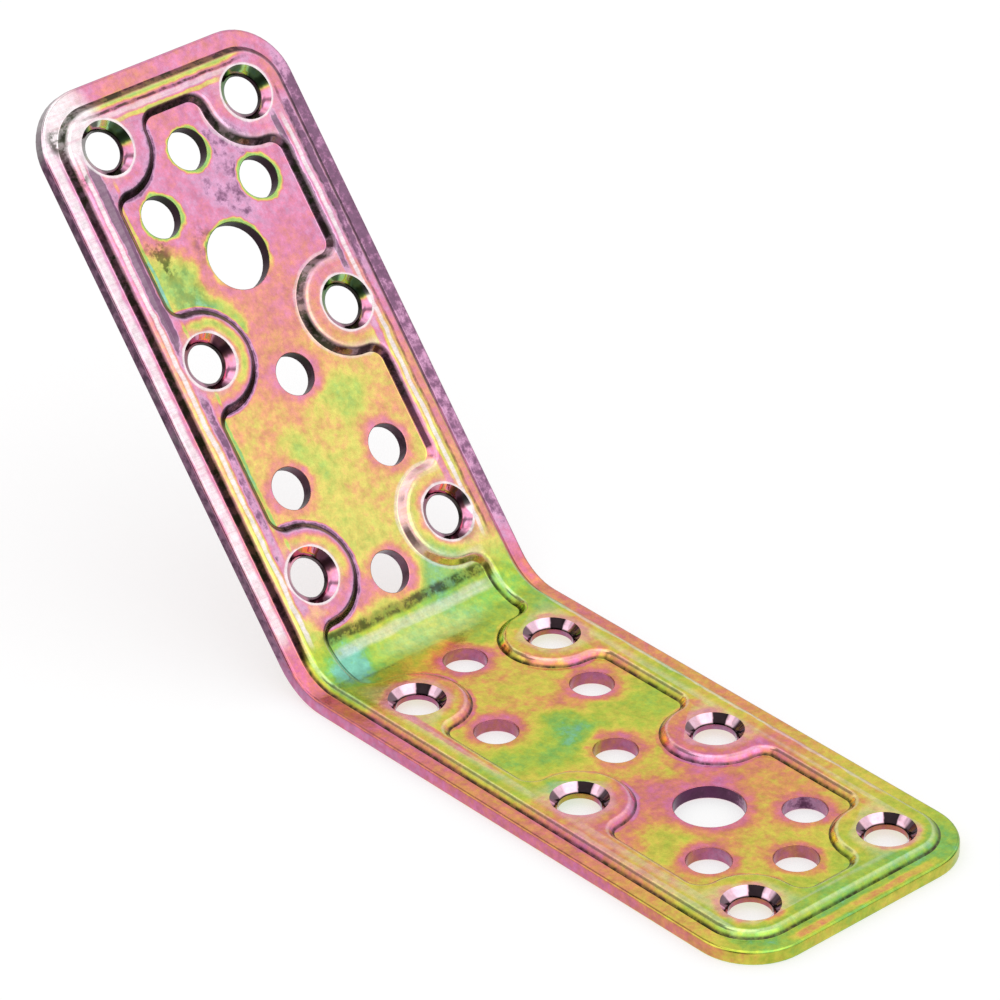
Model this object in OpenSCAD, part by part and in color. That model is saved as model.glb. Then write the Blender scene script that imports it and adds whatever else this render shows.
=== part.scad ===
// Angled connector: one strip of sheet steel, pressed and then bent once.
// Both legs carry the same pattern, mirrored about the bend. Millimetres, Z up.
// A leg is a low rim, a raised band that widens into a round pad at each screw
// hole, and a low panel inside the band. The back shows the same relief, sunk.

/* [Strip] */
// Width of the strip
strip_w = 35.6; // [35:0.2:40]
// Length of one leg's flat, from the start of the bend to its end
leg_l = 68.7; // [68.7:0.1:74]
// Thickness of the sheet
sheet_t = 1.7; // [1.5:0.1:2]
// Radius of the strip's outer corners
strip_corner_r = 7.2; // [5:0.1:9]

/* [Bend] */
// Angle that the strip is turned through at the bend
bend_deg = 50; // [20:1:90]
// Inside radius of the bend, on the panel's inner face
bend_r = 7.1; // [6:0.1:16]

/* [Relief] */
// Height of the raised band above the panel and the rim
band_h = 0.8; // [0.6:0.1:1.2]
// Plan width of each sloping step
step_w = 0.8; // [0.6:0.1:1.1]
// Width of the low rim along the sides, to the middle of the outer step
rim_side_w = 2.2; // [2:0.05:2.7]
// Width of the low rim at the leg's end, to the middle of the outer step
rim_end_w = 2.6; // [2.4:0.1:3.2]
// Radius of the band's outer corners, at the middle of the outer step
band_corner_r = 5; // [4.2:0.1:6]
// Radius of each pad, at the middle of the inner step
pad_r = 5.8; // [5.6:0.1:6]
// Radius of the panel's corners, at the middle of the inner step
panel_corner_r = 1.95; // [1.7:0.05:2]
// Radius that rounds the top edge of each step
crest_r = 1; // [0.5:0.1:1.2]
// Radius in the foot of each step
foot_r = 0.3; // [0.2:0.1:0.7]
// How far the back's step stands nearer the band's middle than the front's
back_shift = 0.4; // [0.3:0.05:0.4]

/* [Screw holes] */
// From the start of the bend to the first pair of screw holes
screw_first_x = 7.75; // [7.75:0.25:9]
// Distance from one pair of screw holes to the next
screw_pitch = 26.6; // [25.8:0.1:26.6]
// Distance between the two screw holes of a pair
screw_gap = 20.3; // [20:0.1:20.6]
// Bore of a screw hole
screw_hole_d = 4.7; // [4.5:0.1:5.2]
// Diameter of the countersink at the pad's face
sink_d = 6.6; // [6:0.1:7.5]
// Depth of the countersink
sink_depth = 0.9; // [0.8:0.1:1.3]

/* [Plain holes] */
// Diameter of a small plain hole
plain_hole_d = 5; // [4:0.1:5.2]
// Diameter of the large plain hole
bolt_hole_d = 8; // [6:0.1:9]
// From the start of the bend to the hole nearest it
near_hole_x = 4.4; // [4:0.1:5]
// From the start of the bend to the inner pair
inner_pair_x = 17.6; // [17.4:0.1:18.5]
// Distance between the two holes of the inner pair
inner_pair_gap = 14.4; // [13:0.1:15]
// From the start of the bend to the middle hole
middle_hole_x = 29.2; // [27:0.1:30.5]
// From the start of the bend to the large hole
bolt_hole_x = 44.1; // [42:0.1:44.5]
// From the start of the bend to the outer pair
outer_pair_x = 51.5; // [51:0.1:51.6]
// Distance between the two holes of the outer pair
outer_pair_gap = 14.4; // [14:0.1:15]
// From the start of the bend to the hole nearest the leg's end
end_hole_x = 57.5; // [57:0.1:58]

/* [Hidden] */
// Facets of a full turn, and of the roundings in the section
turn_facets = 96;
bend_facets = 200;
crest_facets = 5;
foot_facets = 3;
// How far neighbouring stretches of the one sheet run into each other
lap = 0.1;
cut_over = 1;
spare_deg = 2;

// Plan run of a step on each side of its middle, with its roundings
slope_deg = atan2(band_h, step_w);
round_share = tan(slope_deg / 2);
foot_run = step_w / 2 + foot_r * round_share;
crest_run = step_w / 2 + crest_r * round_share;
back_run = step_w / 2 + back_shift + foot_r / 2 * round_share;
high_run = ceil(100 * (max(crest_run, back_run) + lap)) / 100;
low_run = floor(100 * 0.98 * panel_corner_r) / 100;

// Middles of the steps; a pad meets the panel's corners on a line through its own centre
screw_y = screw_gap / 2;
screw_x = [for (i = [0:2]) screw_first_x + i * screw_pitch];
outer_y = strip_w / 2 - rim_side_w;
outer_x = leg_l - rim_end_w;
panel_y = screw_y + panel_corner_r;
panel_x = screw_x[2] + panel_corner_r;
corner_dx = pad_r + panel_corner_r;
end_corner_y = screw_y - corner_dx;
axis_z = sheet_t + bend_r;

// Points are kept to this many steps in a millimetre, so that both ends of a joint agree
grain = 10000;

function kept(p) = [for (v = p) round(v * grain) / grain];

// Points of a rounded corner at p, where the outline turns from one heading to another
function rounded(p, from, to, r, n) =
    let (half = (to - from) / 2)
    let (side = sign(half))
    let (c = p - r * tan(abs(half)) * [cos(from), sin(from)] + side * r * [-sin(from), cos(from)])
    [for (i = [0:n]) let (a = from + (to - from) * i / n) kept(c + side * r * [sin(a), -cos(a)])];

// Upper face of a step that climbs to the right, its middle at s = 0
function step_front(low, high) = concat(
    [[-low, sheet_t]],
    rounded([-step_w / 2, sheet_t], 0, slope_deg, foot_r, foot_facets),
    rounded([step_w / 2, sheet_t + band_h], slope_deg, 0, crest_r, crest_facets),
    [[high, sheet_t + band_h]]
);

// Lower face of the same step, from the right
function step_back(low, high) = concat(
    [[high, band_h]],
    rounded([step_w / 2 + back_shift, band_h], 180, 180 + slope_deg, foot_r / 2, foot_facets),
    rounded([-step_w / 2 + back_shift, 0], 180 + slope_deg, 180, crest_r, crest_facets),
    [[-low, 0]]
);

module step_section(low, high) {
    polygon(concat(step_front(low, high), step_back(low, high)));
}

// A straight step along +X that climbs towards +Y
module straight_step(length, low, high) {
    rotate([90, 0, 90])
        linear_extrude(height = length)
            step_section(low, high);
}

// A curved step round the origin between two headings, low inside the curve
module corner_step(r, from, to, low, high) {
    rotate([0, 0, from])
        rotate_extrude(angle = to - from, $fn = turn_facets)
            translate([r, 0])
                step_section(low, high);
}

// A curved step round the origin between two headings, high inside the curve
module pad_step(r, from, to, low, high) {
    rotate([0, 0, from])
        rotate_extrude(angle = to - from, $fn = turn_facets)
            translate([r, 0])
                mirror([1, 0])
                    step_section(low, high);
}

module both_sides() {
    children();
    mirror([0, 1, 0]) children();
}

// Rounded corner of the panel beside a pad; side is 1 towards the leg's end
module panel_corner(x, side) {
    translate([x + side * corner_dx, screw_y, 0])
        mirror([side < 0 ? 1 : 0, 0, 0])
            corner_step(panel_corner_r, 90, 180, low_run, high_run);
}

// Step from the panel up to the band on one side of the leg
module inner_step_side() {
    straight_from = [0, screw_x[0] + corner_dx, screw_x[1] + corner_dx];
    straight_to = [for (x = screw_x) x - corner_dx];
    for (i = [0:2])
        if (straight_to[i] > straight_from[i])
            translate([straight_from[i], panel_y, 0])
                straight_step(straight_to[i] - straight_from[i], low_run, high_run);
    for (i = [0:2])
        translate([screw_x[i], screw_y, 0])
            pad_step(pad_r, 180, i < 2 ? 360 : 270, low_run, high_run);
    for (i = [0:2])
        panel_corner(screw_x[i], -1);
    for (i = [0:1])
        panel_corner(screw_x[i], 1);
    translate([screw_x[2], end_corner_y, 0])
        corner_step(panel_corner_r, 0, 90, low_run, high_run);
}

// Step across the end of the panel
module inner_step_end() {
    translate([panel_x, end_corner_y, 0])
        rotate([0, 0, -90])
            straight_step(2 * end_corner_y, low_run, high_run);
}

// Step from the band down to the rim, round one leg
module outer_step() {
    run = outer_x - band_corner_r;
    drop = outer_y - band_corner_r;
    both_sides() {
        translate([0, outer_y, 0])
            mirror([0, 1, 0])
                straight_step(run, foot_run + lap, high_run);
        translate([run, drop, 0])
            pad_step(band_corner_r, 0, 90, foot_run + lap, high_run);
    }
    translate([outer_x, -drop, 0])
        rotate([0, 0, 90])
            straight_step(2 * drop, foot_run + lap, high_run);
}

// Outline of one leg, rounded at its end
module leg_outline(length, half_w, r) {
    translate([0, -half_w]) square([length - r, 2 * half_w]);
    translate([0, r - half_w]) square([length, 2 * (half_w - r)]);
    for (side = [-1, 1])
        translate([length - r, side * (half_w - r)])
            circle(r = r, $fn = turn_facets);
}

// Flat of the rim, up to the foot of the outer step
module rim_flat() {
    grow = foot_run + lap / 2;
    linear_extrude(height = sheet_t)
        difference() {
            leg_outline(leg_l, strip_w / 2, strip_corner_r);
            translate([-cut_over, 0])
                leg_outline(cut_over + outer_x + grow, outer_y + grow, band_corner_r + grow);
        }
}

// Flat of the panel, up to the foot of the inner step
module panel_flat() {
    grow = (low_run + foot_run) / 2;
    linear_extrude(height = sheet_t)
        difference() {
            translate([0, grow - panel_y])
                square([panel_x - grow, 2 * (panel_y - grow)]);
            for (x = screw_x, side = [-1, 1])
                translate([x, side * screw_y])
                    circle(r = pad_r + grow, $fn = turn_facets);
        }
}

// What lies past a corner's centre, but outside its curve
module web(x, y, size_x, size_y, r) {
    difference() {
        translate([min(x, x + size_x), y])
            square([abs(size_x), size_y]);
        translate([x, y])
            circle(r = r, $fn = turn_facets);
    }
}

// Flat top of the band and its pads
module band_flat() {
    inset = high_run - lap / 2;
    slip = lap / 6;
    web_r = panel_corner_r + inset;
    translate([0, 0, band_h])
        linear_extrude(height = sheet_t)
            intersection() {
                leg_outline(outer_x - inset, outer_y - inset, band_corner_r - inset);
                union() {
                    difference() {
                        square([4 * leg_l, strip_w], center = true);
                        square([2 * (panel_x + inset - slip), 2 * (panel_y + inset - slip)], center = true);
                    }
                    for (side = [0, 1])
                        mirror([0, side]) {
                            for (x = screw_x)
                                translate([x, screw_y])
                                    circle(r = pad_r - inset + slip, $fn = turn_facets);
                            for (x = screw_x)
                                web(x - corner_dx, screw_y, corner_dx, strip_w, web_r);
                            for (i = [0:1])
                                web(screw_x[i] + corner_dx, screw_y, -corner_dx, strip_w, web_r);
                            web(screw_x[2], end_corner_y, leg_l, strip_w, web_r);
                        }
                }
            }
}

module plain_hole(x, y, d) {
    translate([x, y, -cut_over])
        cylinder(d = d, h = sheet_t + band_h + 2 * cut_over, $fn = turn_facets);
}

// Bore with a cone that opens at the pad's face
module screw_hole(x, y) {
    face_z = sheet_t + band_h;
    flare = (sink_d - screw_hole_d) / 2 / sink_depth;
    plain_hole(x, y, screw_hole_d);
    translate([x, y, face_z - sink_depth])
        cylinder(
            r1 = screw_hole_d / 2,
            r2 = sink_d / 2 + flare * cut_over,
            h = sink_depth + cut_over,
            $fn = turn_facets
        );
}

module leg_holes() {
    for (x = screw_x, side = [-1, 1])
        screw_hole(x, side * screw_y);
    for (x = [near_hole_x, middle_hole_x, end_hole_x])
        plain_hole(x, 0, plain_hole_d);
    for (side = [-1, 1]) {
        plain_hole(inner_pair_x, side * inner_pair_gap / 2, plain_hole_d);
        plain_hole(outer_pair_x, side * outer_pair_gap / 2, plain_hole_d);
    }
    plain_hole(bolt_hole_x, 0, bolt_hole_d);
}

// One leg along +X, its back on Z = 0 and the bend at X = 0
module leg() {
    difference() {
        union() {
            rim_flat();
            panel_flat();
            band_flat();
            outer_step();
            both_sides() inner_step_side();
            inner_step_end();
        }
        leg_holes();
    }
}

// The same list of points, from its last to its first
function backwards(points) = [for (i = [len(points) - 1:-1:0]) points[i]];

// Outline of the strip's section on one side, as points of [y, z]
function half_section() = concat(
    [for (p = step_front(low_run, high_run)) [panel_y + p[0], p[1]]],
    backwards([for (p = step_front(foot_run, high_run)) [outer_y - p[0], p[1]]]),
    [[strip_w / 2, sheet_t], [strip_w / 2, 0]],
    backwards([for (p = step_back(foot_run, high_run)) [outer_y - p[0], p[1]]]),
    [for (p = step_back(low_run, high_run)) [panel_y + p[0], p[1]]]
);

// Turned stretch of the strip from X = 0 towards -X, round an axis above it
module turn(angle) {
    half = half_section();
    whole = concat(half, backwards([for (p = half) [-p[0], p[1]]]));
    translate([0, 0, axis_z])
        rotate([-90, 0, 0])
            rotate([0, 0, 90])
                rotate_extrude(angle = angle, $fn = bend_facets)
                    polygon([for (p = whole) [axis_z - p[1], p[0]]]);
}

// One leg and its half of the bend, cut off at X = 0 with the bend's axis on Y
module half_strip() {
    intersection() {
        rotate([0, -bend_deg / 2, 0])
            translate([0, 0, -axis_z])
                union() {
                    leg();
                    turn(bend_deg / 2 + spare_deg);
                }
        translate([0, -strip_w, -2 * leg_l])
            cube([2 * leg_l, 2 * strip_w, 4 * leg_l]);
    }
}

// The origin is on the seat, midway between the middle pair of screw holes
module connector() {
    color([0.78, 0.66, 0.3])
        translate([-screw_x[1], 0, axis_z])
            rotate([0, bend_deg / 2, 0])
                union() {
                    half_strip();
                    mirror([1, 0, 0]) half_strip();
                }
}

connector();
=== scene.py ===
"""Angled connector: dresses the pressed steel strip in its plated finish, in a plain pale studio."""

import math

import bmesh
import bpy
from bpy.props import (
    FloatProperty,
    FloatVectorProperty,
    PointerProperty,
)
from mathutils import Matrix, Vector


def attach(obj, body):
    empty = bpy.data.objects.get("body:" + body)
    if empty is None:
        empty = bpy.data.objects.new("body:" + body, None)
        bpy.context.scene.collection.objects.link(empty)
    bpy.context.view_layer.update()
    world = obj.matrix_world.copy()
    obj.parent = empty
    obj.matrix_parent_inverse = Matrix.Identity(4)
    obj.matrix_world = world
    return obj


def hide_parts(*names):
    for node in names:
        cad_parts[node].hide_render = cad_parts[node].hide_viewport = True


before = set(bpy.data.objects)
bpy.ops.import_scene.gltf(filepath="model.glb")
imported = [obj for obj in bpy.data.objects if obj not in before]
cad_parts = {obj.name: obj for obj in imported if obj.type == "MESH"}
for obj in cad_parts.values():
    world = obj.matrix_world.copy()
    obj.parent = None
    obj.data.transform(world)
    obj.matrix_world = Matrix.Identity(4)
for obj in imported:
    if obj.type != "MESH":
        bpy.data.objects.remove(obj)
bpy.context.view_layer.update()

bl_info = {
    "name": "Angled connector",
    "version": (1, 0, 0),
    "blender": (4, 5, 0),
    "location": "View3D > Sidebar > Connector",
    "description": "Pressed sheet connector in yellow passivated plate, with its studio",
    "category": "Object",
}

NODE = "connector"
PIECE = "pressed_strip"
MM = 0.001

# Names of the maps and values that the mesh carries for its finish
STRIP_MAP = "strip"
HOLE_MAP = "hole"
RISE = "rise"
LEAN = "lean"

# The four finishes, in the order of the material slots
FACE, WALL, CONE, EDGE = range(4)

# Hole centres of one leg, in millimetres from the end of the bend and from the centre line
PLAIN_HOLES = ((4.4, 0.0), (17.6, 7.2), (29.2, 0.0), (51.5, 7.2), (57.5, 0.0))
BOLT_HOLE = (44.1, 0.0)
SCREW_HOLES = ((7.75, 10.15), (34.35, 10.15), (60.95, 10.15))
PLAIN_R, BOLT_R, SINK_R = 2.5, 4.0, 3.3

# How near two corners are when they are one, and how far a probe goes along a normal, in metres
SAME_PLACE = 1e-6
PROBE = 1e-4

# How deep the plate's fine dimples are, in metres
DIMPLE_DEPTH = 0.0002

# Angles between faces, in degrees: under FLAT they are one flat, over CREASE the shade breaks, and
# over SHARP the edge is rounded
FLAT_DEG, CREASE_DEG, SHARP_DEG = 0.3, 32.0, 45.0

# How much of a face's normal points out of the back: a wall has less, a cone lies between these
WALL_LEAN = 0.3
CONE_LEAN = (0.2, 0.8)

# How far off a hole's edge a place may lie and still belong to it, in millimetres
HOLE_SLACK = 0.1

# Rounded edges: which, how wide in millimetres, and how many steps
ROUNDS = (
    ("rim", 0.40, 4),
    ("rim_back", 0.15, 2),
    ("plain", 0.34, 4),
    ("plain_back", 0.10, 1),
    ("sink", 0.25, 3),
)

# Where the outer rim comes in, off the centre line, and half the length of the unrolled strip
RIM_START = (15.3, 16.3)
HALF_LENGTH = 72.5

# Heights over the back, in millimetres, between which things come in or end: what is above the cut
# edge, the foot of a step and how much higher it goes on the raised leg, its crest, and a
# countersink's lower edge
BACK_EDGE = (1.64, 1.70)
FOOT = (1.82, 2.12)
RAISED_FOOT_LIFT = 0.42
CREST = (2.1, 2.4)
SEAM = (1.62, 1.74)

# How far a face leans from the flat, 0 to 1, where a slope, a foot and a crest come in and end
SLOPE_LEAN = (0.02, 0.16)
FOOT_LEAN = (0.02, 0.10)
FOOT_END_LEAN = (0.40, 0.50)
CREST_LEAN = (0.01, 0.06)

# Where a part of the strip comes in, in millimetres along it or across it
RAISED_LEG = (-6.0, -2.0)
RAISED_TIP = (-49.0, -43.0)
FAINT_FOOT = (-26.0, -20.0)
MIDDLE = (-1.0, 1.0)

# Rings: from and to how far off a hole's edge, in millimetres
GLOW = (0.4, 3.0)
RING = (0.2, 1.5)
TIP_RING = (0.15, 0.7)
SINK_RING = (0.1, 1.5)

# Ring on a pad, by how far it is from the screw hole's centre, off the centre line and along the leg
PAD_START = (4.2, 5.8)
PAD_END = (6.4, 6.8)
PAD_ACROSS = (10.5, 13.5)
PAD_ALONG = (60.0, 64.5)
LIP = (SINK_R + 0.15, SINK_R + 0.45)

# How thick the film is on slopes, rims, rings and pads, on the scale of FILM, and how far it comes
# to that thickness. On the raised leg's slopes it is partly a painted reflection
SLOPE_FILM_AND_REFLECTION, SLOPE_SHARE = 0.80, 0.55
RIM_SHARE = 0.85
GLOW_FILM, GLOW_SHARE = 0.62, 0.8
RING_FILM, RING_SHARE = 0.74, (0.45, 0.95)
TIP_RING_FILM = 0.18
SINK_RING_FILM, SINK_RING_SHARE = 0.72, 0.8
# Painted shade: the dark mauve ring on the raised leg's near pads
RAISED_PAD_SHADE = 0.97
BASE_PAD_FILM = 0.20

# The film in the raised leg's countersinks: its thickness, the painted reflection that tints their
# upper sides at the tip and nearer the bend, which places those are, and which sides
CONE_FILM = 0.80
CONE_MIRROR_TINT = (-0.68, -0.06)
CONE_PLACE = (-46.0, -42.0)
CONE_PLACE_TURN = -0.9
CONE_UPPER = (-0.1, 0.3)

# How much pale zinc is painted on as highlights and sheen on crests, far pads, the raised leg and
# lips, and how much bare zinc shows in the countersinks of each leg
CREST_HIGHLIGHT = 0.22
PAD_HIGHLIGHT = 0.5
RAISED_SHEEN = 0.10
LIP_HIGHLIGHT = 0.9
BASE_CONE_BARE, RAISED_CONE_BARE = 0.48, 0.12

# How dark the painted shade is at the feet and at the countersinks' lower edges, and how much of the
# feet's shade is faint
FOOT_DARK = 0.95
SEAM_DARK = 0.9
FAINT_SHARE = 0.85

# Noises: how fine, how many layers, how rough
WIDE = (75.0, 2.0, 0.5)
FINE = (260.0, 3.0, 0.6)
BLOTCH = (150.0, 4.0, 0.6)
RAGGED = (210.0, 2.0, 0.5)
GRAIN = (1000.0, 3.0, 0.7)
BRUSHED = (1.0, 3.0, 0.6)
SPECKLE = (700.0, 3.0, 0.7)
TONE = (180.0, 2.0, 0.5)
VALUE = (850.0, 3.0, 0.75)
DULL = (300.0, 3.0, 0.6)
DENTS = (260.0, 2.0, 0.5)
DIMPLES = (1500.0, 2.0, 0.5)

# How those noises are spread: from and to which of their levels, and the least and the most then
RAGGED_SPREAD = (0.38, 0.62, 0.1, 1.0)
BRUSHED_SPREAD = (0.25, 0.6, 0.65, 1.0)
SPECKLE_SPREAD = (0.42, 0.58, 0.0, 1.0)
TONE_SPREAD = (0.4, 0.6, 0.0, 1.0)
VALUE_SPREAD = (0.3, 0.7, 0.76, 1.08)

# How much the film's thickness, the roughness and the surface follow their noises
BLOTCH_FILM = 0.54
GRAIN_FILM = 0.36
DULL_ROUGHNESS = 0.14
DENT_SHARE = 1.5

# How fine the zinc is brushed across the strip and along it
BRUSH_SIZE = (2.4, 0.16, 1.0)

# How far the edges of things wander, in millimetres: patches widely and finely, the rest finely
PATCH_WANDER = (7.0, 4.0)
LINE_WANDER = 0.8
MARK_WANDER = 1.8
RING_WANDER = 2.0
PAD_WANDER = 0.7

# The least and the most of a mark, a dark streak and a foot that its speckles leave
MARK_SPECKLE = (0.05, 1.0)
STREAK_SPECKLE = (0.5, 1.0)
FOOT_SPECKLE = (0.75, 1.0)

# How much of a patch's or a streak's half width is its full core, and how far a streak's end fades
PATCH_CORE = 0.35
STREAK_CORE = 0.35
STREAK_FADE = 3.0

# The pale zinc of painted highlights and of bare places, and the two tones of the dark places, marks and
# painted shade, as they are seen
ZINC_AND_HIGHLIGHT = (1.0, 0.96, 0.97)
DARK_GREEN = (0.17, 0.22, 0.10)
DARK_MAUVE = (0.26, 0.17, 0.19)

# The film's colours from thin to thick, as they are seen
FILM = (
    (0.00, (0.52, 0.80, 0.70)),
    (0.14, (0.56, 0.79, 0.38)),
    (0.30, (0.76, 0.83, 0.30)),
    (0.44, (0.91, 0.84, 0.35)),
    (0.56, (0.94, 0.66, 0.40)),
    (0.66, (0.92, 0.54, 0.50)),
    (0.78, (0.90, 0.50, 0.67)),
    (0.90, (0.87, 0.62, 0.79)),
    (0.97, (0.56, 0.31, 0.50)),
    (1.00, (0.45, 0.23, 0.41)),
)

# How thick the film is down the strip, by how far that is from the bend's middle in millimetres (the
# raised leg is below 0), and the same for its far rim and its near rim
DRIFT = (
    (-72.0, 0.74),
    (-60.0, 0.80),
    (-47.0, 0.80),
    (-38.0, 0.62),
    (-29.0, 0.47),
    (-13.0, 0.44),
    (-7.0, 0.40),
    (-1.0, 0.24),
    (6.0, 0.28),
    (11.0, 0.46),
    (19.0, 0.45),
    (27.0, 0.28),
    (36.0, 0.48),
    (45.0, 0.60),
    (54.0, 0.50),
    (62.0, 0.36),
    (70.0, 0.22),
)
FAR_RIM = (
    (-72.0, 0.86),
    (-62.0, 1.04),
    (-10.0, 1.04),
    (2.0, 0.70),
    (30.0, 0.60),
    (56.0, 0.42),
    (72.0, 0.22),
)
NEAR_RIM = (
    (-72.0, 0.86),
    (-30.0, 0.86),
    (-4.0, 0.80),
    (8.0, 0.72),
    (40.0, 0.62),
    (62.0, 0.52),
    (72.0, 0.30),
)

# Patches of thicker or thinner film: along the strip, across it, their two half sizes, how much
PATCHES = (
    (-57.0, 3.0, 9.0, 6.5, 0.12),
    (-46.0, -9.0, 8.5, 4.6, -0.56),
    (-39.0, -6.0, 7.5, 3.0, -0.46),
    (-29.5, 4.0, 3.8, 4.6, -0.16),
    (-24.0, -4.5, 3.8, 3.8, -0.16),
    (-33.0, -3.0, 4.0, 3.6, 0.12),
    (0.5, -10.0, 6.0, 4.6, -0.24),
    (-6.0, 6.0, 5.0, 7.0, -0.20),
    (-7.5, -6.0, 4.0, 6.0, 0.30),
    (9.0, 0.0, 3.0, 8.0, 0.12),
    (22.5, 4.0, 4.0, 5.0, 0.14),
    (26.0, -1.0, 6.5, 3.4, -0.16),
    (36.0, -10.0, 5.0, 3.0, -0.28),
    (36.0, 8.0, 6.0, 3.0, 0.10),
    (50.5, -8.0, 6.0, 4.0, -0.20),
    (44.5, 1.0, 7.5, 7.0, 0.16),
    (56.0, 8.0, 6.0, 3.0, 0.12),
)

# Dark marks: along, across, their two half sizes, how dark
MARKS = (
    (-50.0, -3.2, 3.4, 2.2, 0.45),
    (-50.5, -9.6, 3.6, 2.4, 0.75),
    (-45.5, -8.2, 6.5, 3.6, 0.30),
    (-55.5, -8.6, 2.4, 1.6, 0.50),
    (-8.5, 11.0, 1.6, 2.4, 0.35),
    # Painted shade on the raised leg's near slope by its tip
    (-67.0, -15.4, 2.6, 1.5, 0.85),
    (-62.5, -15.0, 2.2, 1.3, 0.80),
)

# Painted highlights and glare, in pale zinc: along, across, their two half sizes, how strong
PAINTED_HIGHLIGHTS = (
    (-68.5, -13.5, 7.5, 6.0, 1.0),
    (1.0, 1.0, 3.4, 10.0, 0.15),
)

# Narrow streaks: what changes, which way they run, from, to, where, half width, how much. The
# highlight streaks are painted highlights, and the dark streaks painted shade
STREAKS = (
    ("film", "along", -66.0, -6.0, -13.2, 0.9, 0.46),
    ("film", "along", -64.0, -8.0, 12.2, 0.6, 0.34),
    ("film", "along", -64.0, -6.0, 14.6, 0.8, 0.20),
    ("film", "along", -62.0, -8.0, -11.4, 0.3, -0.35),
    ("film", "along", 8.0, 62.0, 12.3, 0.8, 0.08),
    ("film", "along", 8.0, 50.0, -15.6, 0.9, 0.10),
    ("film", "along", 8.0, 30.0, -13.2, 0.7, 0.24),
    ("film", "across", -13.0, 13.0, -69.3, 0.85, -0.46),
    ("film", "across", -12.0, 12.0, -66.9, 0.4, -0.36),
    ("film", "across", -12.0, 12.0, 71.3, 0.8, 0.30),
    ("highlight", "along", -68.0, -3.0, -14.4, 0.45, 0.95),
    ("highlight", "along", -62.0, -6.0, 13.3, 0.42, 0.90),
    ("highlight", "along", -70.0, -4.0, -17.0, 0.9, 0.90),
    ("highlight", "along", 4.0, 60.0, 15.0, 0.3, 0.45),
    ("highlight", "along", 40.0, 68.0, -14.8, 0.5, 0.25),
    ("highlight", "across", -12.0, 12.0, -67.7, 0.5, 0.60),
    ("highlight", "across", -13.0, 13.0, -1.7, 1.1, 0.40),
    ("dark", "along", -66.0, -6.0, 14.1, 0.25, 0.60),
    ("dark", "across", -13.0, 13.0, -68.3, 0.25, 0.85),
    ("dark", "across", -14.0, 14.0, -3.8, 1.0, 0.84),
)

# Painted shade on the countersinks' dark sides, for the dark that they mirror: leg, the way there from
# the hole's centre (along, across), from and to which cosine the shade comes in, how dark
SHADED = (
    ("raised", (-0.45, 0.90), 0.85, 0.97, 0.85),
    ("raised", (0.97, -0.20), 0.80, 0.95, 0.80),
    ("base", (-0.573, 0.819), 0.945, 0.965, 0.97),
    ("base", (0.55, 0.83), 0.86, 0.93, 0.90),
    ("base", (-0.80, -0.60), 0.94, 0.97, 0.75),
)

# What the plate mirrors: direction round and up in degrees, half width of the soft edge and of the
# core, and how bright it is there
MIRRORED = (
    (43.0, 32.0, 34.0, 16.0, 1.06),
    (138.0, 31.0, 34.0, 16.0, 0.87),
    (182.0, 10.0, 20.0, 10.0, 0.50),
    (335.0, 0.0, 30.0, 14.0, 0.75),
    (20.0, -42.0, 44.0, 24.0, 0.20),
    (215.0, 60.0, 28.0, 14.0, 0.35),
    (240.0, 38.0, 15.0, 8.0, 1.35),
    (219.0, 34.0, 10.0, 5.0, 0.85),
    (252.0, 14.0, 15.0, 7.0, 1.10),
    (8.0, 47.0, 28.0, 14.0, 1.75),
    (90.0, 68.0, 28.0, 14.0, 1.18),
    (200.0, 82.0, 22.0, 12.0, 1.75),
    (55.0, -16.0, 34.0, 20.0, 0.16),
    (140.0, -14.0, 24.0, 12.0, 0.55),
    (213.0, 2.0, 18.0, 9.0, 0.05),
    (296.0, 8.0, 28.0, 16.0, 0.18),
    (297.0, 54.0, 22.0, 12.0, 1.50),
    (277.0, 38.0, 8.0, 4.0, 1.40),
)

# Light from the room: to the eye and the shadows, and to the plate's mirror low down and high up
PLAIN_LIGHT = 0.9
LOW_UP, HIGH_UP = -0.5, 0.9
LOW_LIGHT, HIGH_LIGHT = 0.35, 1.3

# Half the floor's width in metres, how far it lies under the part, its grey, the fill that makes it
# white, and the oval of it that the plate mirrors
FLOOR_HALF = 6.0
FLOOR_GAP = 0.00002
FLOOR_GREY = 0.5
FLOOR_FILL = 0.58
CLOSE_X, CLOSE_Y = 0.060, 0.032
CLOSE_EDGE = (0.8, 1.2)
CLOSE_LIGHT = 0.9

# The camera's right, down and forward directions, how near and far it sees in metres, and its width
# in millimetres
CAMERA_RIGHT = (0.67031, 0.74207, -0.00316)
CAMERA_DOWN = (0.38218, -0.34887, -0.8557)
CAMERA_AHEAD = (-0.63609, 0.57238, -0.51746)
CAMERA_REACH = (0.01, 20.0)
SENSOR = 36.0


class ConnectorSheet(bpy.types.PropertyGroup):
    """Sizes of the strip that the finish follows."""

    bend_deg: FloatProperty(
        name="Bend",
        description="Angle that the strip is turned through",
        default=50.0,
        min=1.0,
        max=90.0,
    )
    bend_radius: FloatProperty(
        name="Bend radius",
        description="Inside radius of the bend, on the panel",
        default=0.0071,
        unit="LENGTH",
        subtype="DISTANCE",
    )
    thickness: FloatProperty(
        name="Sheet",
        description="Thickness of the sheet",
        default=0.0017,
        unit="LENGTH",
        subtype="DISTANCE",
    )
    relief: FloatProperty(
        name="Relief",
        description="Height of the raised band",
        default=0.0008,
        unit="LENGTH",
        subtype="DISTANCE",
    )
    seat_to_bend: FloatProperty(
        name="Seat to bend",
        description="From the origin back to the start of the bend",
        default=0.03435,
        unit="LENGTH",
        subtype="DISTANCE",
    )


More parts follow.
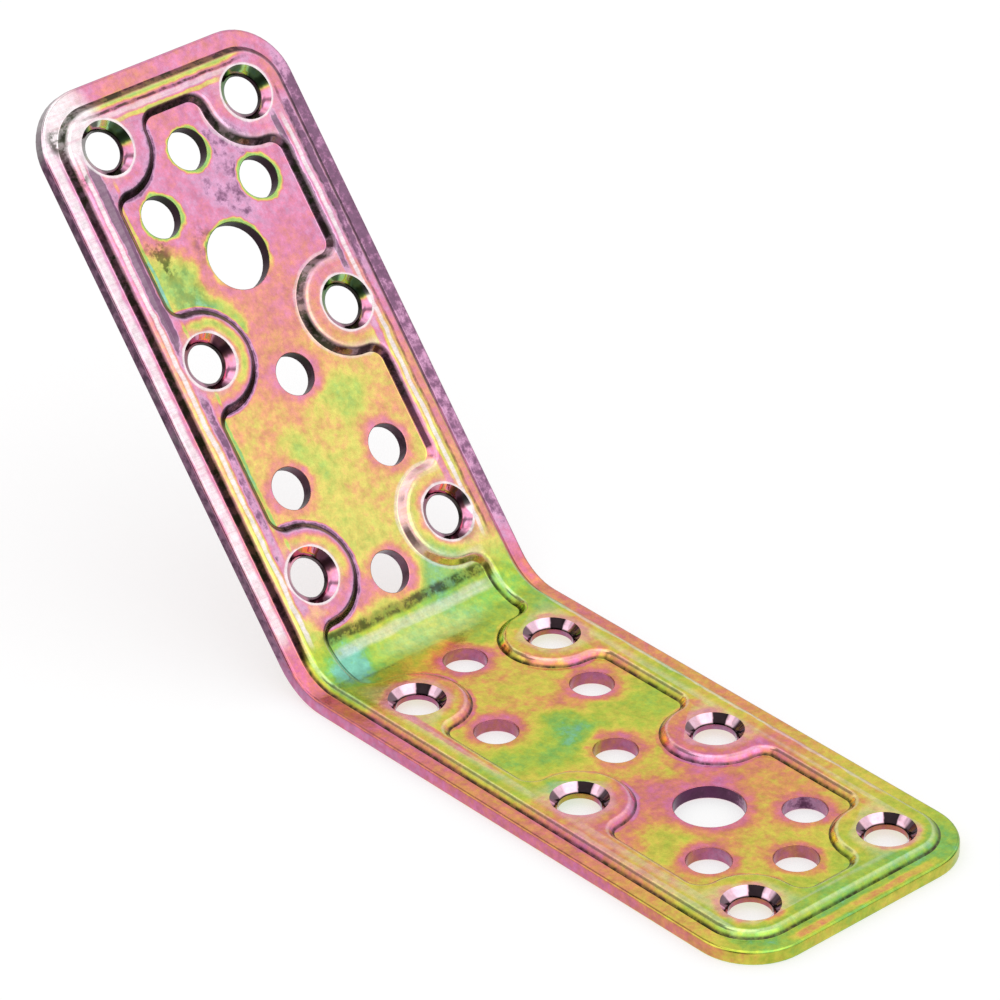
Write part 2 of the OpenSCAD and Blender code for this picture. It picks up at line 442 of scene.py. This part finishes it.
class ConnectorStage(bpy.types.PropertyGroup):
    """The studio round the part."""

    lens: FloatProperty(
        name="Lens",
        description="Focal length for a 36 mm sensor",
        default=217.04,
        min=10.0,
        max=500.0,
    )
    camera_at: FloatVectorProperty(
        name="Camera",
        description="Where the camera stands",
        default=(0.3970, -0.37883, 0.36783),
        subtype="TRANSLATION",
        size=3,
    )


def linear(colour):
    """A colour as it is seen, as the linear values that a shader takes."""
    return tuple(c / 12.92 if c <= 0.04045 else ((c + 0.055) / 1.055) ** 2.4 for c in colour)


class Strip:
    """Turns a point of the bent strip into where it lies on the flat one."""

    def __init__(self, sheet):
        self.bend = math.radians(sheet.bend_deg)
        self.seat = sheet.seat_to_bend
        self.axis_z = sheet.thickness + sheet.bend_radius
        self.half_arc = (sheet.bend_radius + sheet.thickness / 2) * self.bend / 2

    def place(self, p):
        """(along the strip from the bend's middle, across it, height over the back)"""
        x, y, z = p.x + self.seat, p.y, p.z - self.axis_z
        if x >= 0:
            return self.half_arc + x, y, z + self.axis_z
        angle = math.atan2(-x, -z)
        if angle <= self.bend:
            share = 1 - 2 * angle / self.bend
            return self.half_arc * share, y, self.axis_z - math.hypot(x, z)
        c, s = math.cos(self.bend), math.sin(self.bend)
        flat_x, flat_z = x * c - z * s, x * s + z * c
        return -(self.half_arc - flat_x), y, flat_z + self.axis_z


def hole_list():
    """Each hole of a leg: its kind and its centre"""
    for kind, centres in (("plain", PLAIN_HOLES), ("bolt", (BOLT_HOLE,)), ("screw", SCREW_HOLES)):
        for c in centres:
            yield kind, Vector(c)


def on_leg(strip, p):
    """A point in millimetres from the end of the bend and from the centre line, as both legs share it"""
    along, across, _ = strip.place(p)
    return Vector((abs(along) - strip.half_arc, abs(across))) / MM


def nearest_hole(strip, p):
    """Which kind of hole a point is nearest, and its distance from that hole's centre, in millimetres."""
    at = on_leg(strip, p)
    distance, kind = min(((at - centre).length, kind) for kind, centre in hole_list())
    return kind, distance


def side_of_hole(strip, p):
    """The way from a hole's centre to a point, along the strip and across it, as a unit vector"""
    at = on_leg(strip, p)
    away = min((at - centre for _, centre in hole_list()), key=lambda v: v.length).normalized()
    along, across, _ = strip.place(p)
    return away.x * math.copysign(1, along), away.y * math.copysign(1, across)


def soften(bm, strip, sheet):
    """Rounds the strip's cut edges and the mouths of its holes."""
    middle = sheet.thickness / 2
    groups = {name: [] for name, _, _ in ROUNDS}
    for e in bm.edges:
        if len(e.link_faces) != 2 or math.degrees(e.calc_face_angle(0)) < SHARP_DEG:
            continue
        at = (e.verts[0].co + e.verts[1].co) / 2
        height = strip.place(at)[2]
        kind, distance = nearest_hole(strip, at)
        if kind == "screw" and distance < SINK_R + HOLE_SLACK:
            if distance > SINK_R - HOLE_SLACK:
                groups["sink"].append(e)
            elif height < sheet.relief + middle:
                groups["plain_back"].append(e)
        elif distance < (BOLT_R if kind == "bolt" else PLAIN_R) + HOLE_SLACK:
            groups["plain" if height > middle else "plain_back"].append(e)
        else:
            groups["rim" if height > middle else "rim_back"].append(e)
    for name, width, steps in ROUNDS:
        edges = [e for e in groups[name] if e.is_valid]
        bmesh.ops.bevel(
            bm,
            geom=edges,
            offset=width * MM,
            offset_type="OFFSET",
            segments=steps,
            profile=0.5,
            affect="EDGES",
            material=-1,
            clamp_overlap=True,
        )


def merged_strip(node, sheet):
    """A copy of the solid's mesh with its corners joined, its flats made whole and its edges softened."""
    strip = Strip(sheet)
    mesh = bpy.data.meshes.new(PIECE)
    bm = bmesh.new()
    bm.from_mesh(node.data)
    bmesh.ops.remove_doubles(bm, verts=bm.verts, dist=SAME_PLACE)
    bmesh.ops.dissolve_limit(
        bm,
        angle_limit=math.radians(FLAT_DEG),
        use_dissolve_boundaries=False,
        verts=bm.verts,
        edges=bm.edges,
        delimit={"NORMAL"},
    )
    soften(bm, strip, sheet)
    rise = bm.verts.layers.float.new(RISE)
    lean = bm.verts.layers.float.new(LEAN)
    bm.normal_update()
    uv = bm.loops.layers.uv.new(STRIP_MAP)
    hole = bm.loops.layers.uv.new(HOLE_MAP)
    for v in bm.verts:
        height = strip.place(v.co)[2]
        v[rise] = height / MM
        v[lean] = 1 - (strip.place(v.co + v.normal * PROBE)[2] - height) / PROBE
    for f in bm.faces:
        f.smooth = True
        for loop in f.loops:
            along, across, _ = strip.place(loop.vert.co)
            loop[uv].uv = (along / MM, across / MM)
        f.material_index = part_of(f, strip, sheet)
        if f.material_index in (WALL, CONE):
            for loop in f.loops:
                loop[hole].uv = side_of_hole(strip, loop.vert.co)
    bm.to_mesh(mesh)
    bm.free()
    if mesh.has_custom_normals:
        mesh.attributes.remove(mesh.attributes["custom_normal"])
    return mesh


def part_of(face, strip, sheet):
    """Which of the four finishes a face takes"""
    at = face.calc_center_median()
    height = strip.place(at)[2]
    upward = (strip.place(at + face.normal * PROBE)[2] - height) / PROBE
    kind, distance = nearest_hole(strip, at)
    on_pad = height > sheet.relief + SAME_PLACE
    if kind == "screw" and distance < SINK_R and on_pad and CONE_LEAN[0] < upward < CONE_LEAN[1]:
        return CONE
    if abs(upward) > WALL_LEAN:
        return FACE
    if distance < (BOLT_R if kind == "bolt" else SINK_R) + HOLE_SLACK:
        return WALL
    return EDGE


class Graph:
    """Short ways to place and join nodes in one tree."""

    def __init__(self, tree):
        self.tree = tree

    def node(self, kind, values=None, **settings):
        """a node with its settings made and its inputs filled, by name or by number"""
        n = self.tree.nodes.new(kind)
        for k, v in settings.items():
            setattr(n, k, v)
        for k, v in (values or {}).items():
            self.put(n.inputs[k], v)
        return n

    def put(self, socket, value):
        """an input joined to another node's output, or set to a value"""
        if isinstance(value, bpy.types.NodeSocket):
            self.tree.links.new(value, socket)
        else:
            socket.default_value = value

    def math(self, operation, a, b=0.0, c=0.0):
        """one sum with numbers"""
        n = self.node("ShaderNodeMath", {0: a, 1: b}, operation=operation)
        if operation == "MULTIPLY_ADD":
            self.put(n.inputs[2], c)
        return n.outputs[0]

    def product(self, first, *others):
        """all of them multiplied"""
        for other in others:
            first = self.math("MULTIPLY", first, other)
        return first

    def most(self, first, *others):
        """the greatest of them"""
        for other in others:
            first = self.math("MAXIMUM", first, other)
        return first

    def rest(self, share):
        """what a share leaves of 1"""
        return self.math("SUBTRACT", 1.0, share)

    def split(self, vector):
        """the three numbers of a vector"""
        return self.node("ShaderNodeSeparateXYZ", {0: vector}).outputs

    def vector(self, operation, a, b=(0.0, 0.0, 0.0)):
        """one sum with vectors"""
        n = self.node("ShaderNodeVectorMath", {0: a, 1: b}, operation=operation)
        return n.outputs["Value" if operation in ("LENGTH", "DISTANCE", "DOT_PRODUCT") else "Vector"]

    def span(self, value, low, high, to_low=0.0, to_high=1.0, smooth=True):
        """value carried from one range to another, and held at its ends"""
        n = self.node(
            "ShaderNodeMapRange",
            {"Value": value, "From Min": low, "From Max": high, "To Min": to_low, "To Max": to_high},
            interpolation_type="SMOOTHSTEP" if smooth else "LINEAR",
        )
        return n.outputs["Result"]

    def noise(self, at, scale, detail, roughness, colour=False):
        """soft noise from 0 to 1, as a number or as a colour"""
        n = self.node(
            "ShaderNodeTexNoise",
            {"Vector": at, "Scale": scale, "Detail": detail, "Roughness": roughness},
        )
        return n.outputs["Color" if colour else "Fac"]

    def centred(self, at, scale, detail, roughness):
        """noise about 0 instead of about a half"""
        return self.math("SUBTRACT", self.noise(at, scale, detail, roughness), 0.5)

    def mix(self, share, a, b):
        """from one colour to another"""
        n = self.node("ShaderNodeMix", data_type="RGBA")
        for i, v in ((0, share), (6, a), (7, b)):
            self.put(n.inputs[i], (*v, 1.0) if isinstance(v, tuple) and len(v) == 3 else v)
        return n.outputs[2]

    def between(self, share, a, b):
        """from one number to another"""
        return self.node("ShaderNodeMix", {0: share, 2: a, 3: b}, data_type="FLOAT").outputs[0]

    def ramp(self, value, stops, ease="LINEAR"):
        """a colour that follows its stops"""
        n = self.node("ShaderNodeValToRGB", {"Fac": value})
        band = n.color_ramp
        band.interpolation = ease
        while len(band.elements) > 1:
            band.elements.remove(band.elements[-1])
        for i, (at, colour) in enumerate(stops):
            e = band.elements[0] if i == 0 else band.elements.new(at)
            e.position = at
            e.color = (*colour, 1.0)
        return n.outputs["Color"]

    def course(self, along, stops):
        """a number that follows its stops down the strip"""
        share = self.math("MULTIPLY_ADD", along, 0.5 / HALF_LENGTH, 0.5)
        places = [((at / HALF_LENGTH + 1) / 2, (value, value, value)) for at, value in stops]
        return self.ramp(share, places, "EASE")

    def scaled(self, vector, size):
        """a vector or a colour multiplied by a number"""
        n = self.node("ShaderNodeVectorMath", {0: vector, "Scale": size}, operation="SCALE")
        return n.outputs["Vector"]

    def patch(self, spot, x, y, size_x, size_y):
        """1 in the middle of a soft oval and 0 outside it"""
        off = self.vector("SUBTRACT", spot, (x, y, 0.0))
        off = self.vector("MULTIPLY", off, (1 / size_x, 1 / size_y, 0.0))
        return self.span(self.vector("LENGTH", off), PATCH_CORE, 1.0, 1.0, 0.0)

    def stripe(self, along, across, start, end, y, half):
        """1 on a soft line down the strip and 0 off it"""
        off = self.math("ABSOLUTE", self.math("SUBTRACT", across, y))
        inside = self.span(off, half * STREAK_CORE, half, 1.0, 0.0)
        run = self.math("ABSOLUTE", self.math("SUBTRACT", along, (start + end) / 2))
        reach = (end - start) / 2
        return self.product(inside, self.span(run, reach - STREAK_FADE, reach, 1.0, 0.0))

    def streaks(self, kind, along, across):
        """every streak of one kind: 1 on it and 0 off it, and how much it changes"""
        for what, runs, start, end, at, half, amount in STREAKS:
            if what == kind:
                a, b = (along, across) if runs == "along" else (across, along)
                yield self.stripe(a, b, start, end, at, half), amount


def new_group(name, inputs, outputs):
    """An empty node group with its inputs and outputs named"""
    tree = bpy.data.node_groups.new(name, "ShaderNodeTree")
    for label, default in inputs:
        s = tree.interface.new_socket(name=label, in_out="INPUT", socket_type="NodeSocketFloat")
        s.default_value = default
    for label, kind in outputs:
        tree.interface.new_socket(name=label, in_out="OUTPUT", socket_type="NodeSocket" + kind)
    return tree


def nearest(g, at, centres, radius):
    """How far a place on a leg is from the edge of the nearest hole of one kind"""
    found = None
    for c in centres:
        d = g.math("SUBTRACT", g.vector("DISTANCE", at, (*c, 0.0)), radius)
        found = d if found is None else g.math("MINIMUM", found, d)
    return found


class Film:
    """The passivation film in a node tree: where things are on the strip, and how the film is there."""

    def __init__(self, g, half_arc):
        self.g = g
        self.given = g.node("NodeGroupInput").outputs
        self.strip = g.node("ShaderNodeUVMap", uv_map=STRIP_MAP).outputs["UV"]
        self.side = g.node("ShaderNodeUVMap", uv_map=HOLE_MAP).outputs["UV"]
        self.rise = g.node("ShaderNodeAttribute", attribute_name=RISE).outputs["Fac"]
        self.lean = g.node("ShaderNodeAttribute", attribute_name=LEAN).outputs["Fac"]
        self.here = g.node("ShaderNodeTexCoord").outputs["Object"]
        self.wide = self.wander(WIDE)
        self.fine = self.wander(FINE)

        self.along, self.across, _ = g.split(self.strip)
        self.off_centre = g.math("ABSOLUTE", self.across)
        self.leg = g.node("ShaderNodeCombineXYZ", {
            "X": g.math("SUBTRACT", g.math("ABSOLUTE", self.along), half_arc),
            "Y": self.off_centre,
        }).outputs[0]

        self.raised = g.span(self.along, *RAISED_LEG, 1.0, 0.0)
        self.base = g.rest(self.raised)
        self.near_side = g.span(self.across, *MIDDLE, 1.0, 0.0)
        self.far_side = g.rest(self.near_side)
        self.tip = g.span(self.along, *RAISED_TIP, 1.0, 0.0)
        self.ragged = g.span(g.noise(self.here, *RAGGED), *RAGGED_SPREAD)
        self.lines = g.split(self.shaken(self.strip, LINE_WANDER))[:2]
        self.marked = self.shaken(self.strip, MARK_WANDER)
        self.from_screw = nearest(g, self.shaken(self.leg, PAD_WANDER), SCREW_HOLES, 0.0)
        self.pad = self.pad_ring()

    def wander(self, noise):
        """a soft vector about nothing, to make edges wander"""
        g = self.g
        return g.vector("SUBTRACT", g.noise(self.here, *noise, colour=True), (0.5, 0.5, 0.5))

    def shaken(self, place, millimetres):
        """a place with its edges made to wander"""
        g = self.g
        return g.vector("ADD", place, g.scaled(self.fine, millimetres))

    def pad_ring(self):
        """1 on the raised ring of each screw hole's pad, and 0 off it"""
        g = self.g
        return g.product(
            g.span(self.from_screw, *PAD_START),
            g.span(self.from_screw, *PAD_END, 1.0, 0.0),
            g.span(self.off_centre, *PAD_ACROSS, 1.0, 0.0),
            g.span(g.split(self.leg)[0], *PAD_ALONG, 1.0, 0.0),
            self.given["Halo"],
        )

    def thickness(self):
        """Thick and thin film: its drift down the strip, patches, blotches, rims, streaks and slopes."""
        g = self.g
        wide, fine = PATCH_WANDER
        spot = self.shaken(g.vector("ADD", self.strip, g.scaled(self.wide, wide)), fine)
        along = g.split(spot)[0]
        thick = g.course(along, DRIFT)
        for x, y, size_x, size_y, amount in PATCHES:
            thick = g.math("MULTIPLY_ADD", g.patch(spot, x, y, size_x, size_y), amount, thick)
        thick = g.math("MULTIPLY_ADD", g.centred(self.here, *BLOTCH), BLOTCH_FILM, thick)
        rim = g.between(g.span(self.across, *MIDDLE), g.course(along, NEAR_RIM), g.course(along, FAR_RIM))
        on_rim = g.span(self.off_centre, *RIM_START)
        thick = g.between(g.product(on_rim, RIM_SHARE), thick, rim)
        for line, amount in g.streaks("film", *self.lines):
            thick = g.math("MULTIPLY_ADD", line, amount, thick)
        # Pinker film on the raised leg's slopes, partly a painted reflection of what they mirror
        slope = g.product(g.span(self.lean, *SLOPE_LEAN), self.raised, SLOPE_SHARE)
        return g.between(slope, thick, SLOPE_FILM_AND_REFLECTION)

    def ringed(self, thick):
        """Rings of other film round the holes, and on the pads"""
        g = self.g
        halo = self.given["Halo"]
        leg = self.shaken(self.leg, RING_WANDER)
        from_plain = nearest(g, leg, PLAIN_HOLES, PLAIN_R)
        gap = g.math("MINIMUM", from_plain, nearest(g, leg, (BOLT_HOLE,), BOLT_R))
        haloed = g.product(halo, g.rest(self.tip))
        glow = g.product(g.span(gap, *GLOW, GLOW_SHARE, 0.0), self.ragged, haloed)
        thick = g.between(glow, thick, GLOW_FILM)
        broken = g.between(self.ragged, *RING_SHARE)
        ring = g.product(g.span(gap, *RING, 1.0, 0.0), broken, haloed)
        thick = g.between(ring, thick, RING_FILM)
        ring = g.product(g.span(gap, *TIP_RING, 1.0, 0.0), self.tip, halo)
        thick = g.between(ring, thick, TIP_RING_FILM)
        sunk = nearest(g, leg, SCREW_HOLES, SINK_R)
        ring = g.product(g.span(sunk, *SINK_RING, SINK_RING_SHARE, 0.0), self.ragged, halo)
        thick = g.between(ring, thick, SINK_RING_FILM)
        # Painted shade: dark mauve film on the raised leg's near pad rings
        thick = g.between(g.product(self.pad, self.raised, self.near_side), thick, RAISED_PAD_SHADE)
        return g.math("MULTIPLY_ADD", g.product(self.pad, self.ragged, self.base), BASE_PAD_FILM, thick)

    def sunk(self, thick):
        """Painted reflection: the raised leg's countersinks are tinted green above and mauve below."""
        g = self.g
        upper = g.span(g.split(self.side)[0], *CONE_UPPER, 1.0, 0.0)
        place = g.math("MULTIPLY_ADD", self.across, CONE_PLACE_TURN, self.along)
        mirror_tint = g.span(place, *CONE_PLACE, *CONE_MIRROR_TINT)
        tinted = g.math("MULTIPLY_ADD", g.product(upper, self.raised), mirror_tint, CONE_FILM)
        return g.between(self.given["Sink"], thick, tinted)

    def sheen_and_bare(self):
        """Painted highlights and sheen in pale zinc on crests, lips, pads, patches and streaks; bare zinc
        in countersinks
        """
        g = self.g
        crest = g.product(g.span(self.lean, *CREST_LEAN), g.span(self.rise, *CREST))
        sheen_and_bare = g.most(
            g.product(crest, CREST_HIGHLIGHT),
            g.product(self.pad, self.raised, self.far_side, PAD_HIGHLIGHT),
        )
        for x, y, size_x, size_y, amount in PAINTED_HIGHLIGHTS:
            sheen_and_bare = g.most(sheen_and_bare, g.product(g.patch(self.marked, x, y, size_x, size_y), amount))
        for line, amount in g.streaks("highlight", *self.lines):
            sheen_and_bare = g.most(sheen_and_bare, g.product(line, amount))
        brushed = g.noise(g.vector("MULTIPLY", self.strip, BRUSH_SIZE), *BRUSHED)
        sheen_and_bare = g.product(sheen_and_bare, g.span(brushed, *BRUSHED_SPREAD))
        return g.most(
            sheen_and_bare,
            g.product(self.raised, RAISED_SHEEN),
            # Painted highlight on the lips round the raised leg's countersinks
            g.product(g.span(self.from_screw, *LIP, LIP_HIGHLIGHT, 0.0), self.raised, self.given["Halo"]),
            g.product(self.given["Sink"], g.between(self.raised, BASE_CONE_BARE, RAISED_CONE_BARE)),
        )

    def foot(self):
        """Painted shade: the dark line at the foot of each step, fainter at the raised leg's far side by
        the bend
        """
        g = self.g
        height = g.math("MULTIPLY_ADD", self.raised, -RAISED_FOOT_LIFT, self.rise)
        faint = g.product(g.span(self.along, *FAINT_FOOT), self.raised, self.far_side, FAINT_SHARE)
        return g.product(
            g.span(height, *FOOT, FOOT_DARK, 0.0),
            g.span(self.rise, *BACK_EDGE),
            g.rest(faint),
            g.span(self.lean, *FOOT_LEAN),
            g.span(self.lean, *FOOT_END_LEAN, 1.0, 0.0),
            g.rest(self.given["Sink"]),
        )

    def dark(self):
        """How dark the film is: marks, and painted shade in dark streaks, at feet, at the countersinks'
        lower edges and on walls and cut edges, there partly a darker film
        """
        g = self.g
        speckle = g.span(g.noise(self.here, *SPECKLE), *SPECKLE_SPREAD)
        dark = g.most(*(
            g.product(g.patch(self.marked, x, y, size_x, size_y), amount)
            for x, y, size_x, size_y, amount in MARKS
        ))
        dark = g.product(dark, g.between(speckle, *MARK_SPECKLE))
        broken = g.between(speckle, *STREAK_SPECKLE)
        # Painted shade along the dark streaks
        for line, amount in g.streaks("dark", *self.lines):
            dark = g.most(dark, g.product(line, broken, amount))
        return g.most(
            dark,
            g.product(self.foot(), g.between(speckle, *FOOT_SPECKLE)),
            # Painted shade along the countersinks' lower edges
            g.product(self.given["Sink"], g.span(self.rise, *SEAM, SEAM_DARK, 0.0)),
            # Painted shade on the hole walls and cut edges, twice as dark on the raised leg, partly a
            # darker film on them
            g.product(self.given["Soot"], g.math("ADD", self.raised, 1.0)),
        )

    def unlit(self):
        """Painted shade: how black the countersinks are on their dark sides"""
        g = self.g
        legs = {"raised": self.raised, "base": self.base}
        return g.most(*(
            g.product(
                g.span(g.vector("DOT_PRODUCT", self.side, (*away, 0.0)), start, full, 0.0, amount),
                legs[which],
                self.given["Sink"],
            )
            for which, away, start, full, amount in SHADED
        ))


def film_group(half_arc):
    """The passivation film: where it is thick and thin, its colour, and how it dulls the plate."""
    tree = new_group(
        "passivation film",
        (("Shift", 0.0), ("Halo", 1.0), ("Soot", 0.0), ("Sink", 0.0), ("Roughness", 0.2)),
        (("Color", "Color"), ("Roughness", "Float"), ("Height", "Float")),
    )
    g = Graph(tree)
    film = Film(g, half_arc)
    thick = film.sunk(film.ringed(film.thickness()))
    thick = g.math("MULTIPLY_ADD", g.centred(film.here, *GRAIN), GRAIN_FILM, thick)
    thick = g.math("ADD", thick, film.given["Shift"])
    colour = g.ramp(thick, [(at, linear(c)) for at, c in FILM])
    # Painted highlights and sheen in pale zinc, and bare zinc in the countersinks
    colour = g.mix(film.sheen_and_bare(), colour, linear(ZINC_AND_HIGHLIGHT))
    share = g.span(g.noise(film.here, *TONE), *TONE_SPREAD)
    # Marks and painted shade, in dark green and mauve
    colour = g.mix(film.dark(), colour, g.mix(share, linear(DARK_GREEN), linear(DARK_MAUVE)))
    value = g.span(g.noise(film.here, *VALUE), *VALUE_SPREAD, smooth=False)
    # Painted shade on the countersinks' dark sides
    colour = g.scaled(colour, g.product(value, g.rest(film.unlit())))

    out = g.node("NodeGroupOutput")
    dull = g.centred(film.here, *DULL)
    dents = g.product(g.noise(film.here, *DENTS), DENT_SHARE)
    g.put(out.inputs["Color"], colour)
    g.put(out.inputs["Roughness"], g.math("MULTIPLY_ADD", dull, DULL_ROUGHNESS, film.given["Roughness"]))
    g.put(out.inputs["Height"], g.math("ADD", g.noise(film.here, *DIMPLES), dents))
    return tree


def plate_material(name, group, dimples=0.05, **given):
    """Metal under the film, with the film's inputs given by name"""
    mat = bpy.data.materials.new(name)
    mat.use_nodes = True
    tree = mat.node_tree
    tree.nodes.clear()
    g = Graph(tree)
    film = g.node("ShaderNodeGroup", node_tree=group)
    for label, value in given.items():
        g.put(film.inputs[label], value)
    bump = g.node("ShaderNodeBump", {
        "Height": film.outputs["Height"],
        "Strength": dimples,
        "Distance": DIMPLE_DEPTH,
    })
    bsdf = g.node("ShaderNodeBsdfPrincipled", {
        "Base Color": film.outputs["Color"],
        "Metallic": 1.0,
        "Roughness": film.outputs["Roughness"],
        "Normal": bump.outputs["Normal"],
    })
    g.node("ShaderNodeOutputMaterial", {"Surface": bsdf.outputs[0]})
    return mat


class CONNECTOR_PT_tools(bpy.types.Panel):
    """The connector's sizes and the buttons that make it"""

    bl_idname = "CONNECTOR_PT_tools"
    bl_label = "Angled connector"
    bl_space_type = "VIEW_3D"
    bl_region_type = "UI"
    bl_category = "Connector"

    def draw(self, context):
        for title, group, operator in (
            ("Strip", context.scene.connector_sheet, "connector.strip"),
            ("Studio", context.scene.connector_stage, "connector.stage"),
        ):
            box = self.layout.box()
            box.label(text=title)
            for name in group.__annotations__:
                box.prop(group, name)
            box.operator(operator)


class CONNECTOR_OT_strip(bpy.types.Operator):
    """Make the pressed strip"""

    bl_idname = "connector.strip"
    bl_label = "Pressed strip"

    def execute(self, context):
        mesh = merged_strip(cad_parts[NODE], context.scene.connector_sheet)
        ob = bpy.data.objects.new(PIECE, mesh)
        context.scene.collection.objects.link(ob)
        group = film_group(Strip(context.scene.connector_sheet).half_arc / MM)
        for mat in (
            plate_material("plated face", group, Roughness=0.16),
            # The punched walls and cut edges take painted shade, partly a darker film
            plate_material("punched wall", group, Shift=0.3, Halo=0.0, Soot=0.42, Roughness=0.28),
            plate_material("countersink", group, dimples=0.0, Halo=0.0, Sink=1.0, Roughness=0.08),
            plate_material("cut edge", group, Shift=0.14, Halo=0.0, Soot=0.08, Roughness=0.3),
        ):
            mesh.materials.append(mat)
        mesh.set_sharp_from_angle(angle=math.radians(CREASE_DEG))
        weighted = ob.modifiers.new("weighted", "WEIGHTED_NORMAL")
        weighted.keep_sharp = True
        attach(ob, "root")
        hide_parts(NODE)
        return {"FINISHED"}


def towards(round_deg, up_deg):
    """A direction as a unit vector"""
    a, e = math.radians(round_deg), math.radians(up_deg)
    return math.cos(a) * math.cos(e), math.sin(a) * math.cos(e), math.sin(e)


def studio_world():
    """Even light, and for the plate's mirror a room with bright sheets and dark gaps."""
    world = bpy.data.worlds.new("studio")
    world.use_nodes = True
    tree = world.node_tree
    tree.nodes.clear()
    g = Graph(tree)
    way = g.vector("NORMALIZE", g.node("ShaderNodeTexCoord").outputs["Generated"])
    lit = g.span(g.split(way)[2], LOW_UP, HIGH_UP, LOW_LIGHT, HIGH_LIGHT)
    for round_deg, up_deg, edge, core, level in MIRRORED:
        near = g.vector("DOT_PRODUCT", way, towards(round_deg, up_deg))
        share = g.span(near, math.cos(math.radians(edge)), math.cos(math.radians(core)))
        lit = g.between(share, lit, level)
    plain = g.node("ShaderNodeBackground", {"Color": (1, 1, 1, 1), "Strength": PLAIN_LIGHT})
    shown = g.node("ShaderNodeBackground", {"Color": lit, "Strength": 1.0})
    path = g.node("ShaderNodeLightPath")
    mixed = g.node("ShaderNodeMixShader", {
        0: path.outputs["Is Glossy Ray"],
        1: plain.outputs[0],
        2: shown.outputs[0],
    })
    g.node("ShaderNodeOutputWorld", {"Surface": mixed.outputs[0]})
    return world


class CONNECTOR_OT_stage(bpy.types.Operator):
    """Make the floor, the light and the camera"""

    bl_idname = "connector.stage"
    bl_label = "Studio"

    def execute(self, context):
        scene = context.scene
        s = scene.connector_stage
        cam = bpy.data.cameras.new("camera")
        cam.lens = s.lens
        cam.sensor_width = SENSOR
        cam.clip_start, cam.clip_end = CAMERA_REACH
        ob = bpy.data.objects.new("camera", cam)
        scene.collection.objects.link(ob)
        turn = Matrix((CAMERA_RIGHT, -Vector(CAMERA_DOWN), -Vector(CAMERA_AHEAD))).transposed().to_4x4()
        ob.matrix_world = Matrix.Translation(Vector(s.camera_at)) @ turn
        scene.camera = ob

        bm = bmesh.new()
        bmesh.ops.create_grid(bm, x_segments=1, y_segments=1, size=FLOOR_HALF)
        mesh = bpy.data.meshes.new("floor")
        bm.to_mesh(mesh)
        bm.free()
        floor = bpy.data.objects.new("floor", mesh)
        floor.location.z = -FLOOR_GAP
        scene.collection.objects.link(floor)
        mesh.materials.append(floor_material())
        scene.world = studio_world()
        scene.view_settings.view_transform = "Standard"
        return {"FINISHED"}


def floor_material():
    """White to the camera but for the part's shadow. The plate mirrors it white close by only."""
    mat = bpy.data.materials.new("floor")
    mat.use_nodes = True
    tree = mat.node_tree
    tree.nodes.clear()
    g = Graph(tree)
    path = g.node("ShaderNodeLightPath")
    matt = g.node("ShaderNodeBsdfDiffuse", {"Color": (FLOOR_GREY, FLOOR_GREY, FLOOR_GREY, 1.0)})
    fill = g.product(path.outputs["Is Camera Ray"], FLOOR_FILL)
    glow = g.node("ShaderNodeEmission", {"Color": (1, 1, 1, 1), "Strength": fill})
    both = g.node("ShaderNodeAddShader", {0: matt.outputs[0], 1: glow.outputs[0]})
    here = g.node("ShaderNodeTexCoord").outputs["Object"]
    away = g.vector("LENGTH", g.vector("MULTIPLY", here, (1 / CLOSE_X, 1 / CLOSE_Y, 0.0)))
    close = g.node("ShaderNodeEmission", {"Color": (1, 1, 1, 1), "Strength": CLOSE_LIGHT})
    clear = g.node("ShaderNodeBsdfTransparent")
    mirrored = g.node("ShaderNodeMixShader", {
        0: g.span(away, *CLOSE_EDGE),
        1: close.outputs[0],
        2: clear.outputs[0],
    })
    shown = g.node("ShaderNodeMixShader", {
        0: path.outputs["Is Glossy Ray"],
        1: both.outputs[0],
        2: mirrored.outputs[0],
    })
    g.node("ShaderNodeOutputMaterial", {"Surface": shown.outputs[0]})
    return mat


CLASSES = (
    ConnectorSheet,
    ConnectorStage,
    CONNECTOR_OT_strip,
    CONNECTOR_OT_stage,
    CONNECTOR_PT_tools,
)


def register():
    for c in CLASSES:
        bpy.utils.register_class(c)
    bpy.types.Scene.connector_sheet = PointerProperty(type=ConnectorSheet)
    bpy.types.Scene.connector_stage = PointerProperty(type=ConnectorStage)


def unregister():
    del bpy.types.Scene.connector_stage
    del bpy.types.Scene.connector_sheet
    for c in reversed(CLASSES):
        bpy.utils.unregister_class(c)


def main():
    register()
    bpy.ops.connector.strip()
    bpy.ops.connector.stage()


if __name__ == "__main__":
    main()
